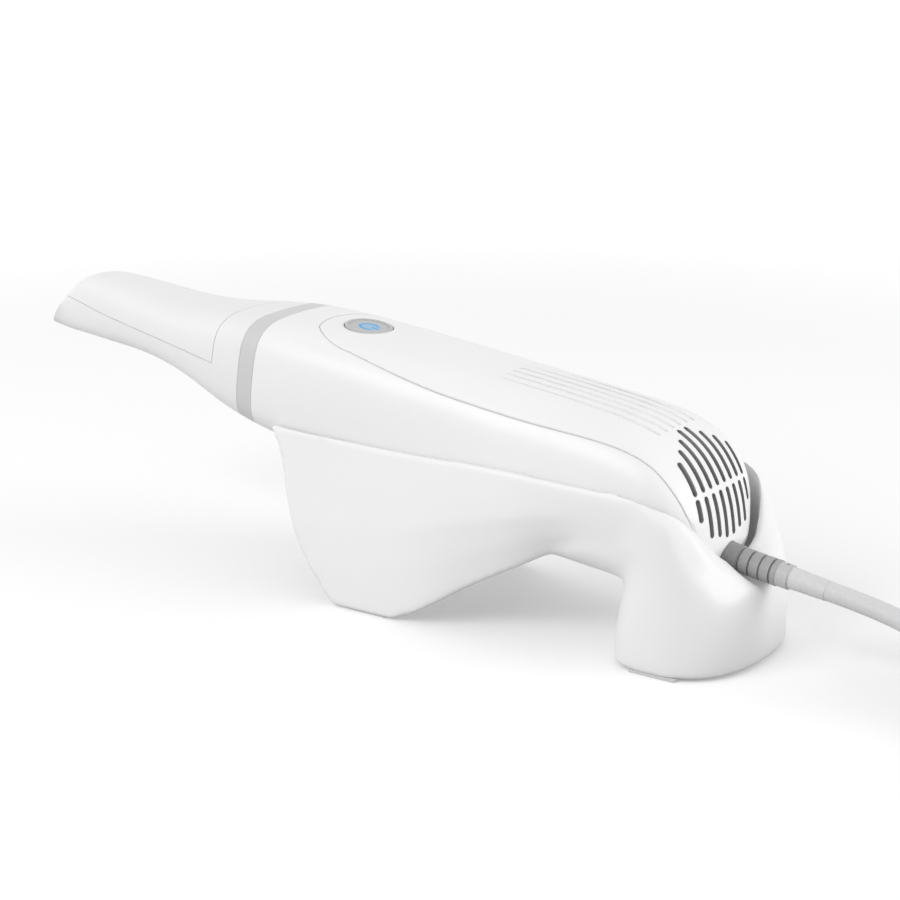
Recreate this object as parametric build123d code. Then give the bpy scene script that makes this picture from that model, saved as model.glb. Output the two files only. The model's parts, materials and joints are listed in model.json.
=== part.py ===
from build123d import *
import math
import os

# Intraoral scanner resting nose up in its desktop cradle, in millimetres.
# Row frame: +Z up from the table, nose towards -X, cable towards +X, symmetric about Y = 0.
# Handpiece pieces are drawn in the handpiece's own frame (X along it, 0 at the handle's front face,
# Z = 0 on its axis) and are then tilted and lifted into the cradle together.

# Pose of the handpiece in the cradle
nose_up_angle = 8.0
handle_front_x = -34.9
handle_front_z = 65.35

# Outer form of the handpiece
tip_reach = 103.9
ring_width = 6.5
ring_half_width = 23.6
ring_half_height = 18.4
handle_length = 164.5
handle_half_width = 26.4
handle_half_height = 23.5
section_points = 24

# Top along, bottom along, top height, bottom height, half width, squareness (a power, not a share)
tip_station_shares = (
    (0.946, 1.000, -0.033, -0.674, 0.415, 3.2),
    (0.920, 0.935, 0.261, -0.717, 0.390, 3.2),
    (0.873, 0.858, 0.457, -0.690, 0.432, 3.3),
    (0.776, 0.742, 0.549, -0.630, 0.542, 3.3),
    (0.552, 0.530, 0.565, -0.549, 0.691, 3.3),
    (0.364, 0.338, 0.652, -0.652, 0.805, 3.4),
    (0.206, 0.184, 0.832, -0.864, 0.907, 3.6),
    (0.049, 0.030, 1.000, -0.995, 1.000, 3.8),
)
handle_station_shares = (
    (0.091, 0.103, 0.868, -0.838, 0.947, 3.7),
    (0.273, 0.285, 0.928, -0.902, 0.973, 3.5),
    (0.480, 0.480, 0.970, -0.945, 0.985, 3.3),
    (0.662, 0.662, 1.000, -0.945, 0.992, 3.2),
    (0.778, 0.765, 0.996, -0.919, 1.000, 3.3),
    (0.863, 0.832, 0.911, -0.894, 0.996, 3.4),
    (0.922, 0.881, 0.702, -0.877, 0.970, 3.4),
    (0.962, 0.920, 0.387, -0.855, 0.886, 3.1),
    (0.986, 0.954, 0.038, -0.830, 0.705, 2.8),
    (0.997, 0.978, -0.234, -0.779, 0.553, 2.7),
    (1.000, 0.990, -0.340, -0.719, 0.379, 2.6),
)

# Walls, gaps and one overrun for all cuts
housing_wall = 2.2
tip_wall = 1.8
joint_gap = 0.1
seam_gap = 0.3
seat_gap = 0.2
overrun = 30.0

# Top cover: its plan outline from nose to tail, and how far down its sides reach
cover_nose_x = 12.4
cover_half_width = 22.7
cover_tail_x = 168.0
cover_plan_shares = (
    (0.019, 0.493),
    (0.062, 0.718),
    (0.139, 0.860),
    (0.242, 0.943),
    (0.435, 1.000),
    (0.757, 0.974),
    (0.872, 0.947),
    (0.904, 0.925),
    (0.936, 0.850),
    (0.952, 0.753),
)
cover_tail_share = 0.10
cover_side_bottom = 5.0
cover_tail_turn_x = 138.0
cover_tail_low_x = 156.0

# Grille in the cover's tail: two rows of slots in columns, and grooves that fade forwards
slot_columns = 8
slot_pitch = 4.06
slot_width = 1.9
slot_depth = 9.0
upper_row_top = (142.5, 21.6)
upper_row_bottom = (158.3, 9.0)
upper_start_shares = (0.0, 0.155, 0.297, 0.458)
lower_row_top = (159.1, 7.8)
lower_row_bottom = (163.9, -5.7)
lower_end_shares = (1.0, 0.92, 0.87, 0.48)
groove_start_x = 84.0
groove_end_x = 141.0
groove_width = 1.1
groove_depth = 0.2
groove_steps = 8

# Power button: cap, symbol, plunger and switch
button_x = 26.6
button_radius = 7.8
button_top = 21.35
button_flange_radius = 8.9
button_flange_top = 17.6
button_flange_thickness = 0.9
button_dish_radius = 6.6
button_dish_depth = 0.25
button_stem_radius = 2.4
button_gap = 0.3
symbol_radius = 2.9
symbol_stroke = 0.8
symbol_bar = 3.0
symbol_gap_angle = 70.0
symbol_thickness = 0.3
symbol_proud = 0.05
plunger_radius = 1.6
plunger_top = 15.6
plunger_bottom = 12.9
plunger_clearance = 0.06
switch_side = 6.2
switch_height = 3.2
switch_floor = 0.5
button_board_length = 24.0
button_board_width = 18.0
button_board_top = 11.6
board_thickness = 1.6
hanger_radius = 1.8
hanger_x = 10.0
hanger_y = 6.5

# Nose housing (the snout that the tip slides over), its window and seal
snout_reach = 46.0
snout_half_width = 12.6
snout_half_height = 6.6
snout_corner = 3.0
snout_wall = 1.5
snout_base_depth = 4.0
spigot_reach = 14.0
spigot_wall = 2.4
window_thickness = 1.2
window_ledge = 1.0
seal_front_x = -11.6
seal_width = 1.6
seal_depth = 1.2

# Tip: parting line, window in the underside and mirror
tip_split_x = -19.3
tip_window_front_x = -99.5
tip_window_rear_x = -84.5
tip_window_half_width = 6.2
tip_window_corner = 2.0
tip_window_top = -8.5
mirror_length = 25.0
mirror_half_width = 10.0
mirror_thickness = 1.0
mirror_mid_x = -93.6
mirror_mid_z = -3.4
mirror_angle = 48.0

# Optics on their bench
bench_front_x = 7.0
bench_length = 60.0
bench_half_width = 15.0
bench_top = -11.0
bench_thickness = 2.5
bulkhead_thickness = 2.5
bulkhead_first_x = 15.0
bulkhead_second_x = 31.0
bulkhead_top = 8.4
barrel_radius = 6.3
barrel_wall = 1.2
barrel_y = 8.2
barrel_front_x = 5.5
barrel_length = 32.0
barrel_clearance = 0.05
lens_thickness = 2.4
lens_inset = 1.5
sensor_side = 9.0
sensor_thickness = 1.5
camera_board_half_width = 6.6
camera_board_top = 8.0
engine_length = 15.0
engine_half_width = 6.6
engine_top = 7.0
light_sink_base = 1.5
light_sink_fin = 1.0
light_sink_fins = 5
light_sink_depth = 6.0

# Main board, its parts and the posts under the boards
main_board_front_x = 70.0
main_board_length = 64.0
main_board_half_width = 15.0
main_board_top = -6.0
post_radius = 3.0
post_hole_radius = 1.15
post_inset = 4.5
screw_head_radius = 2.3
screw_head_height = 1.4
screw_shank_radius = 1.1
screw_length = 5.0
chip_height = 1.8
processor_side = 15.0
processor_x = 90.0
memory_length = 9.0
memory_width = 6.0
memory_x = 112.0
memory_y = 8.0
socket_length = 8.0
socket_width = 14.0
socket_height = 4.0
socket_x = 126.0
sink_side = 20.0
sink_base = 2.0
sink_fin_height = 8.0
sink_fin = 1.0
sink_fins = 6

# Fan behind the grille
fan_front_x = 137.5
fan_depth = 8.0
fan_side = 28.0
fan_duct_radius = 13.0
fan_mid_z = -0.4
fan_plate = 1.2
fan_spoke_width = 2.0
fan_spokes = 4
fan_hub_radius = 5.4
fan_hub_front = 2.6
rotor_hub_radius = 5.2
rotor_radius = 12.2
rotor_depth = 4.6
rotor_gap = 0.5
rotor_blades = 7
blade_thickness = 0.8
blade_pitch = 35.0
shaft_radius = 1.0
shaft_clearance = 0.05
fan_corner_radius = 3.0
fan_bed_width = 24.0
fan_rail = 1.6
fan_rail_height = 3.0

# Screws that hold the two halves of the handle
housing_screw_x = (56.0, 128.0)
housing_screw_y = 18.6
housing_boss_radius = 2.9
housing_screw_radius = 1.15
housing_screw_head_radius = 2.0
housing_screw_head_height = 1.6
housing_screw_head_z = -16.2
housing_screw_length = 22.0
housing_boss_split_z = -2.0

# Cable end: gland, collar, ribbed relief, end ring and sleeve
cable_axis_z = -11.8
saddle_half_width = 7.0
saddle_length = 4.0
gland_radius = 5.4
gland_length = 6.0
gland_front_x = 154.6
collar_radius = 4.3
collar_front_x = 160.8
collar_rear_x = 168.6
relief_radius = 3.95
relief_groove_radius = 3.3
relief_groove_width = 0.7
relief_rear_x = 181.4
relief_grooves = 4
relief_first_groove_x = 168.9
relief_groove_pitch = 3.45
end_ring_radius = 3.75
end_ring_rear_x = 185.2
end_ring_hole_radius = 0.5
end_ring_hole_depth = 1.2
end_ring_hole_x = 183.6
sleeve_front_radius = 3.3
sleeve_rear_radius = 3.1
sleeve_rear_x = 197.0

# Cable: its route is a list of places in the row frame, and its spare length is a coil
cable_radius = 2.95
cable_bend_share = 0.45
coil_centre = (236.0, 26.0)
coil_outer_turn = 48.0
coil_pitch = 6.0
coil_turns = 4
coil_layers = 2
coil_lift = 0.6
cable_points = (
    (176.0, 0.0, 23.794),
    (193.0, -3.5, 20.0),
    (208.0, -10.5, 13.2),
    (221.0, -17.5, 7.2),
    (236.0, -22.0, 3.9),
)
tail_points = (
    (195.5, 49.5, 12.0),
    (188.7, 31.0, 15.3),
    (193.2, 11.5, 15.7),
    (208.1, -1.9, 16.5),
    (226.0, -4.1, 16.5),
)
tie_width = 8.0
tie_angle = 45.0
tie_thickness = 0.6

# Plug at the cable's far end
plug_relief_length = 14.0
plug_relief_rear_radius = 3.2
plug_relief_front_radius = 3.8
plug_body_length = 26.0
plug_body_width = 15.0
plug_body_height = 7.8
plug_body_corner = 2.4
plug_shell_length = 12.0
plug_shell_width = 12.0
plug_shell_height = 4.5
plug_shell_wall = 0.4
plug_tongue_height = 1.6

# Cradle: overall sizes
cradle_front_x = -26.0
cradle_length = 166.0
rim_height = 53.2
rim_half_width = 29.6
foot_half_width = 35.6
wing_thickness = 4.2
trough_clearance = 1.0
trough_wall = 1.7
rest_gap = 0.3
rest_rib_width = 8.0
rest_rib_half_width_share = 0.6
rest_rib_x = (4.0, 96.0)
leg_wall = 3.5
leg_half_width = 30.9
leg_hollow_top = 20.0

# Wing creases at stations along the cradle: along, then half width and height of the rim,
# three creases and the lower edge
wing_station_shares = (
    (-0.050, (0.888, 1.000), (0.972, 0.695), (1.058, 0.451), (1.138, 0.207), (1.209, -0.030)),
    (0.127, (0.932, 1.000), (1.024, 0.714), (1.106, 0.470), (1.166, 0.226), (1.209, -0.030)),
    (0.277, (0.959, 1.000), (1.047, 0.752), (1.115, 0.519), (1.166, 0.267), (1.203, -0.030)),
    (0.398, (0.973, 1.000), (1.044, 0.795), (1.101, 0.602), (1.122, 0.367), (1.142, 0.113)),
    (0.470, (0.980, 1.000), (1.034, 0.821), (1.068, 0.669), (1.054, 0.470), (1.020, 0.256)),
    (0.566, (0.987, 1.000), (1.020, 0.853), (1.034, 0.742), (0.980, 0.583), (0.899, 0.421)),
    (0.639, (0.993, 1.000), (1.007, 0.883), (1.010, 0.789), (0.932, 0.669), (0.811, 0.549)),
    (0.711, (0.997, 1.000), (1.000, 0.902), (0.990, 0.820), (0.957, 0.735), (0.920, 0.662)),
    (0.783, (1.000, 1.000), (1.000, 0.912), (0.990, 0.827), (0.968, 0.752), (0.945, 0.680)),
    (0.860, (0.985, 1.000), (0.985, 0.912), (0.975, 0.827), (0.955, 0.752), (0.935, 0.680)),
)

# Front edge of the wings, from the rim down to the foot: along and height
wing_front_shares = (
    (0.002, 0.968),
    (0.024, 0.883),
    (0.051, 0.652),
    (0.085, 0.395),
    (0.125, 0.216),
    (0.166, 0.077),
    (0.196, -0.020),
)

# Rear leg: height, front along, half width, and squareness of its front (a power, not a share)
leg_station_shares = (
    (-0.010, 0.752, 1.000, 3.4),
    (0.113, 0.753, 0.993, 3.3),
    (0.226, 0.754, 0.985, 3.1),
    (0.338, 0.758, 0.978, 2.9),
    (0.451, 0.764, 0.971, 2.7),
    (0.526, 0.763, 0.967, 2.6),
    (0.583, 0.757, 0.965, 2.5),
    (0.622, 0.745, 0.964, 2.4),
    (0.648, 0.728, 0.964, 2.3),
    (0.668, 0.703, 0.964, 2.3),
    (0.684, 0.663, 0.964, 2.3),
    (1.040, 0.660, 0.964, 2.3),
)
leg_middle_share = 0.867
leg_rear_squareness = 2.4
leg_points = 48

# Roof cut over the cradle: along, middle height, ridge height, ridge half width, drop of the outer edge
roof_station_shares = (
    (-0.060, 1.000, 1.000, 0.940, 0.000),
    (0.500, 1.000, 1.000, 0.940, 0.000),
    (0.711, 1.002, 1.002, 0.940, 0.000),
    (0.753, 1.000, 1.000, 0.930, 0.000),
    (0.801, 0.990, 0.995, 0.920, 0.020),
    (0.834, 0.970, 0.980, 0.915, 0.100),
    (0.861, 0.930, 0.955, 0.900, 0.360),
    (0.887, 0.850, 0.925, 0.890, 0.620),
    (0.913, 0.710, 0.850, 0.820, 0.530),
    (0.934, 0.600, 0.765, 0.770, 0.480),
    (0.949, 0.560, 0.680, 0.660, 0.470),
    (0.964, 0.525, 0.605, 0.510, 0.450),
    (0.979, 0.495, 0.540, 0.360, 0.420),
    (0.994, 0.470, 0.490, 0.300, 0.380),
    (1.012, 0.450, 0.455, 0.280, 0.350),
)
roof_middle_share = 0.200
roof_reach = 45.0
roof_top = 90.0

# Soft pads under the cradle's feet
pad_thickness = 1.0
pad_proud = 0.3
wing_pad_length = 16.0
wing_pad_width = 3.0
wing_pad_x = 18.0
wing_pad_y = 32.9
leg_pad_length = 16.0
leg_pad_width = 2.2
leg_pad_y = 28.8
leg_pad_x = 118.0


def block(x_from, x_to, y_from, y_to, z_from, z_to):
    """A box between two corners."""
    middle = ((x_from + x_to) / 2, (y_from + y_to) / 2, (z_from + z_to) / 2)
    return Pos(*middle) * Box(x_to - x_from, y_to - y_from, z_to - z_from)


def rod(radius, x_from, x_to, y=0, z=0):
    """A cylinder along X."""
    return Pos((x_from + x_to) / 2, y, z) * Rot(0, 90, 0) * Cylinder(radius, x_to - x_from)


def post(radius, x, y, z_from, z_to):
    """A cylinder along Z."""
    return Pos(x, y, (z_from + z_to) / 2) * Cylinder(radius, z_to - z_from)


def prism_along_y(points, reach):
    """A face drawn in XZ from straight lines, extruded both ways along Y."""
    outline = Polyline(*[(x, z) for x, z in points], close=True)
    return extrude(Plane.XZ * make_face(outline), reach, both=True)


def both_sides(piece):
    """A piece and its mirror image across Y = 0."""
    return piece + mirror(piece, about=Plane.XZ)


# Handpiece skin: sections that each span from a point on the top line to one on the bottom line


def handpiece_stations():
    """Top point, bottom point, half width and squareness of each section, nose to tail."""
    stations = []
    for top_x, low_x, top_z, low_z, width, power in tip_station_shares:
        top = (-top_x * tip_reach, top_z * ring_half_height)
        low = (-low_x * tip_reach, low_z * ring_half_height)
        stations.append((top, low, width * ring_half_width, power))
    for top_x, low_x, top_z, low_z, width, power in handle_station_shares:
        top = (top_x * handle_length, top_z * handle_half_height)
        low = (low_x * handle_length, low_z * handle_half_height)
        stations.append((top, low, width * handle_half_width, power))
    return stations


def unit(x, z):
    """The direction of a vector in the XZ plane."""
    size = math.hypot(x, z)
    return x / size, z / size


def moved_line(points, amount, side):
    """A polyline moved sideways at each point: side +1 moves a left-to-right line down."""
    moved = []
    for index, (x, z) in enumerate(points):
        before = points[max(index - 1, 0)]
        after = points[min(index + 1, len(points) - 1)]
        along_x, along_z = unit(after[0] - before[0], after[1] - before[1])
        moved.append((x + side * along_z * amount, z - side * along_x * amount))
    return moved


def section(top, low, half_width, power):
    """A rounded, squarish section face between a top and a bottom point."""
    points = []
    for index in range(section_points):
        angle = 2 * math.pi * (index + 1 / 2) / section_points
        across = math.copysign(abs(math.cos(angle)) ** (2 / power), math.cos(angle))
        up = math.copysign(abs(math.sin(angle)) ** (2 / power), math.sin(angle))
        share = (1 + up) / 2
        x = low[0] + share * (top[0] - low[0])
        z = low[1] + share * (top[1] - low[1])
        points.append((x, across * half_width, z))
    return make_face(Edge.make_spline([Vector(*point) for point in points], periodic=True))


def skin(inset, first=0, last=None):
    """The handpiece's outer form, moved inwards by inset, between two stations."""
    stations = handpiece_stations()
    tops = moved_line([station[0] for station in stations], inset, 1)
    lows = moved_line([station[1] for station in stations], inset, -1)
    ends = ((0, 1), (len(stations) - 1, -1))
    for index, side in ends:
        top, low = stations[index][0], stations[index][1]
        up_x, up_z = unit(top[0] - low[0], top[1] - low[1])
        in_x, in_z = side * up_z * inset, -side * up_x * inset
        tops[index] = (top[0] - up_x * inset + in_x, top[1] - up_z * inset + in_z)
        lows[index] = (low[0] + up_x * inset + in_x, low[1] + up_z * inset + in_z)
    faces = []
    for top, low, station in list(zip(tops, lows, stations))[first:last]:
        faces.append(section(top, low, station[2] - inset, station[3]))
    return loft(faces)


def level_at(points, x):
    """Where a line of (x, level) points passes a place, by straight interpolation."""
    for (x_from, level_from), (x_to, level_to) in zip(points, points[1:]):
        if x_from <= x <= x_to:
            return level_from + (level_to - level_from) * (x - x_from) / (x_to - x_from)
    return points[-1][1]


def upright_section(x, inset):
    """Top, bottom, half width and squareness of the upright section at a place along the skin."""
    stations = handpiece_stations()
    top = level_at([station[0] for station in stations], x) - inset
    low = level_at([station[1] for station in stations], x) + inset
    middles = [(station[0][0] + station[1][0]) / 2 for station in stations]
    half_width = level_at([(at, station[2]) for at, station in zip(middles, stations)], x) - inset
    power = level_at([(at, station[3]) for at, station in zip(middles, stations)], x)
    return top, low, half_width, power


def skin_height(x, y, inset, side):
    """The height of the skin, moved inwards by inset: side is +1 on top and -1 below."""
    top, low, half_width, power = upright_section(x, inset)
    share = (1 - (abs(y) / half_width) ** power) ** (1 / power)
    return (top + low) / 2 + side * share * (top - low) / 2


def sleeve(inset, x_from, x_to):
    """A short solid that follows the skin, moved inwards by inset, between two places."""
    faces = []
    for x in (x_from, x_to):
        top, low, half_width, power = upright_section(x, inset)
        faces.append(section((x, top), (x, low), half_width, power))
    return loft(faces)


ring_front_x = -ring_width
outer_skin = skin(0)
housing_core = skin(housing_wall, len(tip_station_shares) - 2)


def between(solid, x_from, x_to):
    """The part of a handpiece solid between two places along it."""
    return solid & block(x_from, x_to, -overrun, overrun, -overrun, overrun)


# Tip: two mouldings parted at mid height, and the mirror


def make_tip():
    """The tip's lower and upper mouldings and its mirror."""
    tip_end_x = ring_front_x - joint_gap
    hollow = skin(tip_wall, 0, len(tip_station_shares) + 1)
    front_x = -tip_reach - overrun
    shell = between(outer_skin, front_x, tip_end_x) - hollow
    window = extrude(
        Pos((tip_window_front_x + tip_window_rear_x) / 2, 0, tip_window_top)
        * RectangleRounded(
            tip_window_rear_x - tip_window_front_x, 2 * tip_window_half_width, tip_window_corner
        ),
        -overrun,
    )
    shell -= window
    upper_zone = block(front_x, tip_split_x, -overrun, overrun, 0, overrun)
    gap_zone = block(front_x, tip_split_x + joint_gap, -overrun, overrun, -joint_gap, overrun)
    mirror_plate = (
        Pos(mirror_mid_x, 0, mirror_mid_z)
        * Rot(0, -mirror_angle, 0)
        * Box(mirror_length, 2 * mirror_half_width, mirror_thickness)
    )
    mirror_plate = mirror_plate & skin(tip_wall + joint_gap, 0, len(tip_station_shares) + 1)
    return {"tip_body": shell - gap_zone, "tip_cover": shell & upper_zone, "tip_mirror": mirror_plate}


# Nose housing, window, seal and the grey ring round its base


def snout_section(inset, x_from, x_to):
    """A rounded rectangle along X, for the snout and its bore."""
    width = 2 * (snout_half_width - inset)
    height = 2 * (snout_half_height - inset)
    face = Plane.YZ * RectangleRounded(width, height, snout_corner - inset)
    return Pos(x_from, 0, 0) * extrude(face, x_to - x_from)


def make_nose():
    """The snout with its base and spigot, its window, its seal and the collar ring."""
    inner = tip_wall + seam_gap
    base = sleeve(housing_wall + seam_gap, ring_front_x, snout_base_depth)
    seal_rear_x = seal_front_x + seal_width
    spigot = sleeve(inner, -spigot_reach, ring_front_x)
    spigot -= sleeve(inner + spigot_wall, -spigot_reach - joint_gap, ring_front_x)
    seal = sleeve(inner, seal_front_x, seal_rear_x)
    seal -= sleeve(inner + seal_depth, seal_front_x - joint_gap, seal_rear_x + joint_gap)
    snout = snout_section(0, -snout_reach, ring_front_x)
    bore = snout_section(snout_wall, -snout_reach - overrun, snout_base_depth + overrun)
    window_rear_x = -snout_reach + window_thickness
    rebate = snout_section(window_ledge / 2, -snout_reach - overrun, window_rear_x)
    window = snout_section(window_ledge / 2 + joint_gap, -snout_reach, window_rear_x)
    housing = base + (spigot - seal) + snout - bore - rebate
    ring = between(outer_skin, ring_front_x, -joint_gap) - housing_core
    return {"nose_housing": housing, "nose_window": window, "nose_seal": seal, "collar_ring": ring}


# Handle: cover and lower housing, parted along a U that opens towards the tail


def cover_zone(gap):
    """The space inside the cover's plan outline, grown by a gap, down to the cover's lower edge."""
    span = cover_tail_x - cover_nose_x
    side = []
    for along, across in cover_plan_shares:
        side.append((cover_nose_x + along * span, across * cover_half_width + gap))
    side.append((cover_tail_x, cover_tail_share * cover_half_width + gap))
    start = side[0]
    nose = ThreePointArc((start[0], -start[1]), (cover_nose_x - gap, 0), start)
    half = [ThreePointArc(*side[first : first + 3]) for first in range(0, len(side) - 2, 2)]
    half += [Line(*side[-2:])] if len(side) % 2 == 0 else []
    other = [mirror(edge, about=Plane.XZ) for edge in half]
    close = Line(side[-1], (side[-1][0], -side[-1][1]))
    plan = make_face([nose, *half, *other, close])
    tall = Pos(0, 0, -overrun) * extrude(plan, 2 * overrun)
    below = prism_along_y(
        (
            (-overrun, -overrun),
            (-overrun, cover_side_bottom - gap),
            (cover_tail_turn_x, cover_side_bottom - gap),
            (cover_tail_low_x, cable_axis_z - gap),
            (cover_tail_x + overrun, cable_axis_z - gap),
            (cover_tail_x + overrun, -overrun),
        ),
        overrun,
    )
    return tall - below


def slot_cutter(start, end, y):
    """A round-ended cutter through the tail wall between two places in the XZ plane."""
    along = Vector(end[0] - start[0], 0, end[1] - start[1])
    middle = Vector((start[0] + end[0]) / 2, y, (start[1] + end[1]) / 2)
    frame = Plane(origin=middle, x_dir=along, z_dir=along.cross(Vector(0, 1, 0)))
    outline = SlotOverall(along.length, slot_width)
    return extrude(frame * outline, slot_depth / 2, both=True)


def point_between(start, end, share):
    """A place on a straight line, by its share of the way."""
    return start[0] + share * (end[0] - start[0]), start[1] + share * (end[1] - start[1])


def grille_cutters():
    """Two rows of slots, the columns numbered out from the middle on each side."""
    cutters = []
    for index in range(slot_columns // 2):
        y = slot_pitch * (index + 1 / 2)
        upper = point_between(upper_row_top, upper_row_bottom, upper_start_shares[index])
        lower = point_between(lower_row_top, lower_row_bottom, lower_end_shares[index])
        for side in (-1, 1):
            cutters.append(slot_cutter(upper, upper_row_bottom, side * y))
            cutters.append(slot_cutter(lower_row_top, lower, side * y))
    return cutters


def groove_cutters():
    """Shallow grooves in line with the slots, deepest at the grille and fading out forwards."""
    cutters = []
    reach = groove_end_x - groove_start_x
    for index in range(slot_columns - 2):
        y = slot_pitch * (index - (slot_columns - 3) / 2)
        floor = []
        for step in range(groove_steps + 1):
            x = groove_start_x + reach * step / groove_steps
            depth = groove_depth * (step / groove_steps) ** (1 / 2)
            floor.append((x, skin_height(x, y, 0, 1) - depth))
        outline = [*floor, (groove_end_x, handle_half_width), (groove_start_x, handle_half_width)]
        cutters.append(Pos(0, y, 0) * prism_along_y(outline, groove_width / 2))
    return cutters


def housing_screw_places():
    """Where the four screws between the halves of the handle stand."""
    return [(x, side * housing_screw_y) for x in housing_screw_x for side in (-1, 1)]


def board_post_places():
    """Where the posts under the optical bench and the main board stand: x, y, height of the top."""
    places = []
    spans = (
        (bench_front_x, bench_length, bench_half_width, bench_top - bench_thickness),
        (main_board_front_x, main_board_length, main_board_half_width, main_board_top - board_thickness),
    )
    for front, length, half_width, top in spans:
        for x in (front + post_inset, front + length - post_inset):
            for side in (-1, 1):
                places.append((x, side * (half_width - post_inset), top))
    return places


def make_handle():
    """The lower housing and the top cover, with their bosses, posts, grille and button hole."""
    tail_x = handle_length + overrun
    shell = between(outer_skin, 0, tail_x) - housing_core
    inside = between(skin(housing_wall / 2, len(tip_station_shares) - 2), joint_gap, tail_x)
    bed_top = fan_mid_z - fan_side / 2 - seat_gap
    bed_front = fan_front_x - fan_rail - seat_gap
    bed_rear = fan_front_x + fan_depth + fan_rail + seat_gap
    half_bed = fan_bed_width / 2
    saddle_rear = gland_front_x + gland_length - joint_gap
    below = [block(bed_front, bed_rear, -half_bed, half_bed, -overrun, bed_top + fan_rail_height)]
    saddle_front = saddle_rear - saddle_length
    below.append(
        block(saddle_front, saddle_rear, -saddle_half_width, saddle_half_width, -overrun, cable_axis_z)
    )
    above = []
    for x, y in housing_screw_places():
        below.append(post(housing_boss_radius, x, y, -overrun, housing_boss_split_z))
        above.append(post(housing_boss_radius, x, y, housing_boss_split_z + joint_gap, overrun))
    trimmed = (Part() + [*below, *above]) & inside
    below = [piece for piece in trimmed.solids() if piece.center().Z < housing_boss_split_z]
    above = [piece for piece in trimmed.solids() if piece.center().Z > housing_boss_split_z]
    for x, y, top in board_post_places():
        below.append(post(post_radius, x, y, skin_height(x, y, housing_wall / 2, -1), top))
    for x in (button_x - hanger_x, button_x + hanger_x):
        for y in (-hanger_y, hanger_y):
            hanger_top = skin_height(x, y, housing_wall / 2, 1)
            above.append(post(hanger_radius, x, y, button_board_top, hanger_top))

    cable_hole = rod(collar_radius + joint_gap, gland_front_x, tail_x, 0, cable_axis_z)
    gland_rear = gland_front_x + gland_length
    gland_room = rod(gland_radius + joint_gap, gland_front_x, gland_rear, 0, cable_axis_z)
    low_cuts = [cable_hole, gland_room]
    low_cuts.append(
        block(
            fan_front_x - seat_gap,
            fan_front_x + fan_depth + seat_gap,
            -half_bed - joint_gap,
            half_bed + joint_gap,
            bed_top,
            bed_top + fan_rail_height + joint_gap,
        )
    )
    top_cuts = [cable_hole, *grille_cutters(), *groove_cutters()]
    top_cuts.append(post(button_radius + button_gap, button_x, 0, button_board_top, overrun))
    shank_top = housing_screw_head_z + housing_screw_length
    head_top = housing_screw_head_z + housing_screw_head_height
    for x, y in housing_screw_places():
        split_z = housing_boss_split_z + joint_gap
        low_cuts.append(post(housing_screw_radius + joint_gap, x, y, -overrun, split_z))
        low_cuts.append(post(housing_screw_head_radius + joint_gap, x, y, -overrun, head_top))
        top_cuts.append(post(housing_screw_radius + joint_gap / 2, x, y, housing_boss_split_z, shank_top))
    for x, y, top in board_post_places():
        low_cuts.append(post(post_hole_radius, x, y, top - screw_length, top + joint_gap))
    cover = (shell & cover_zone(0)) + above
    lower = (shell - cover_zone(seam_gap)) + below
    return {"lower_housing": lower - low_cuts, "top_cover": cover - top_cuts}


def make_button():
    """The button's cap and symbol, its plunger, and the switch and board under it."""
    cap = post(button_radius, button_x, 0, button_flange_top, button_top)
    cap += post(
        button_flange_radius, button_x, 0, button_flange_top - button_flange_thickness, button_flange_top
    )
    cap += post(button_stem_radius, button_x, 0, plunger_top, button_flange_top)
    cap = chamfer(cap.edges().group_by(Axis.Z)[-1], button_dish_depth)
    dish = Pos(button_x, 0, button_top) * Cylinder(button_dish_radius, 2 * button_dish_depth)
    cap -= dish
    floor_z = button_top - button_dish_depth
    ring = Circle(symbol_radius + symbol_stroke / 2) - Circle(symbol_radius - symbol_stroke / 2)
    reach = 2 * symbol_radius
    half_gap = math.radians(symbol_gap_angle / 2)
    wedge = make_face(
        Polyline(
            (0, 0),
            (reach * math.cos(half_gap), reach * math.sin(half_gap)),
            (reach * math.cos(half_gap), -reach * math.sin(half_gap)),
            close=True,
        )
    )
    bar = Pos(symbol_radius - symbol_stroke / 2, 0) * SlotOverall(symbol_bar, symbol_stroke)
    sign = extrude(ring - wedge + bar, symbol_thickness)
    symbol = Pos(button_x, 0, floor_z + symbol_proud - symbol_thickness) * sign
    cap -= symbol
    plunger = post(plunger_radius, button_x, 0, plunger_bottom, plunger_top)
    case = block(
        button_x - switch_side / 2,
        button_x + switch_side / 2,
        -switch_side / 2,
        switch_side / 2,
        button_board_top,
        button_board_top + switch_height,
    )
    case -= post(
        plunger_radius + plunger_clearance,
        button_x,
        0,
        button_board_top + switch_floor,
        button_board_top + switch_height + overrun,
    )
    board = block(
        button_x - button_board_length / 2,
        button_x + button_board_length / 2,
        -button_board_width / 2,
        button_board_width / 2,
        button_board_top - board_thickness,
        button_board_top,
    )
    return {
        "power_button": cap,
        "button_symbol": symbol,
        "switch_plunger": plunger,
        "tact_switch": case,
        "button_board": board,
    }


# Optics


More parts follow.
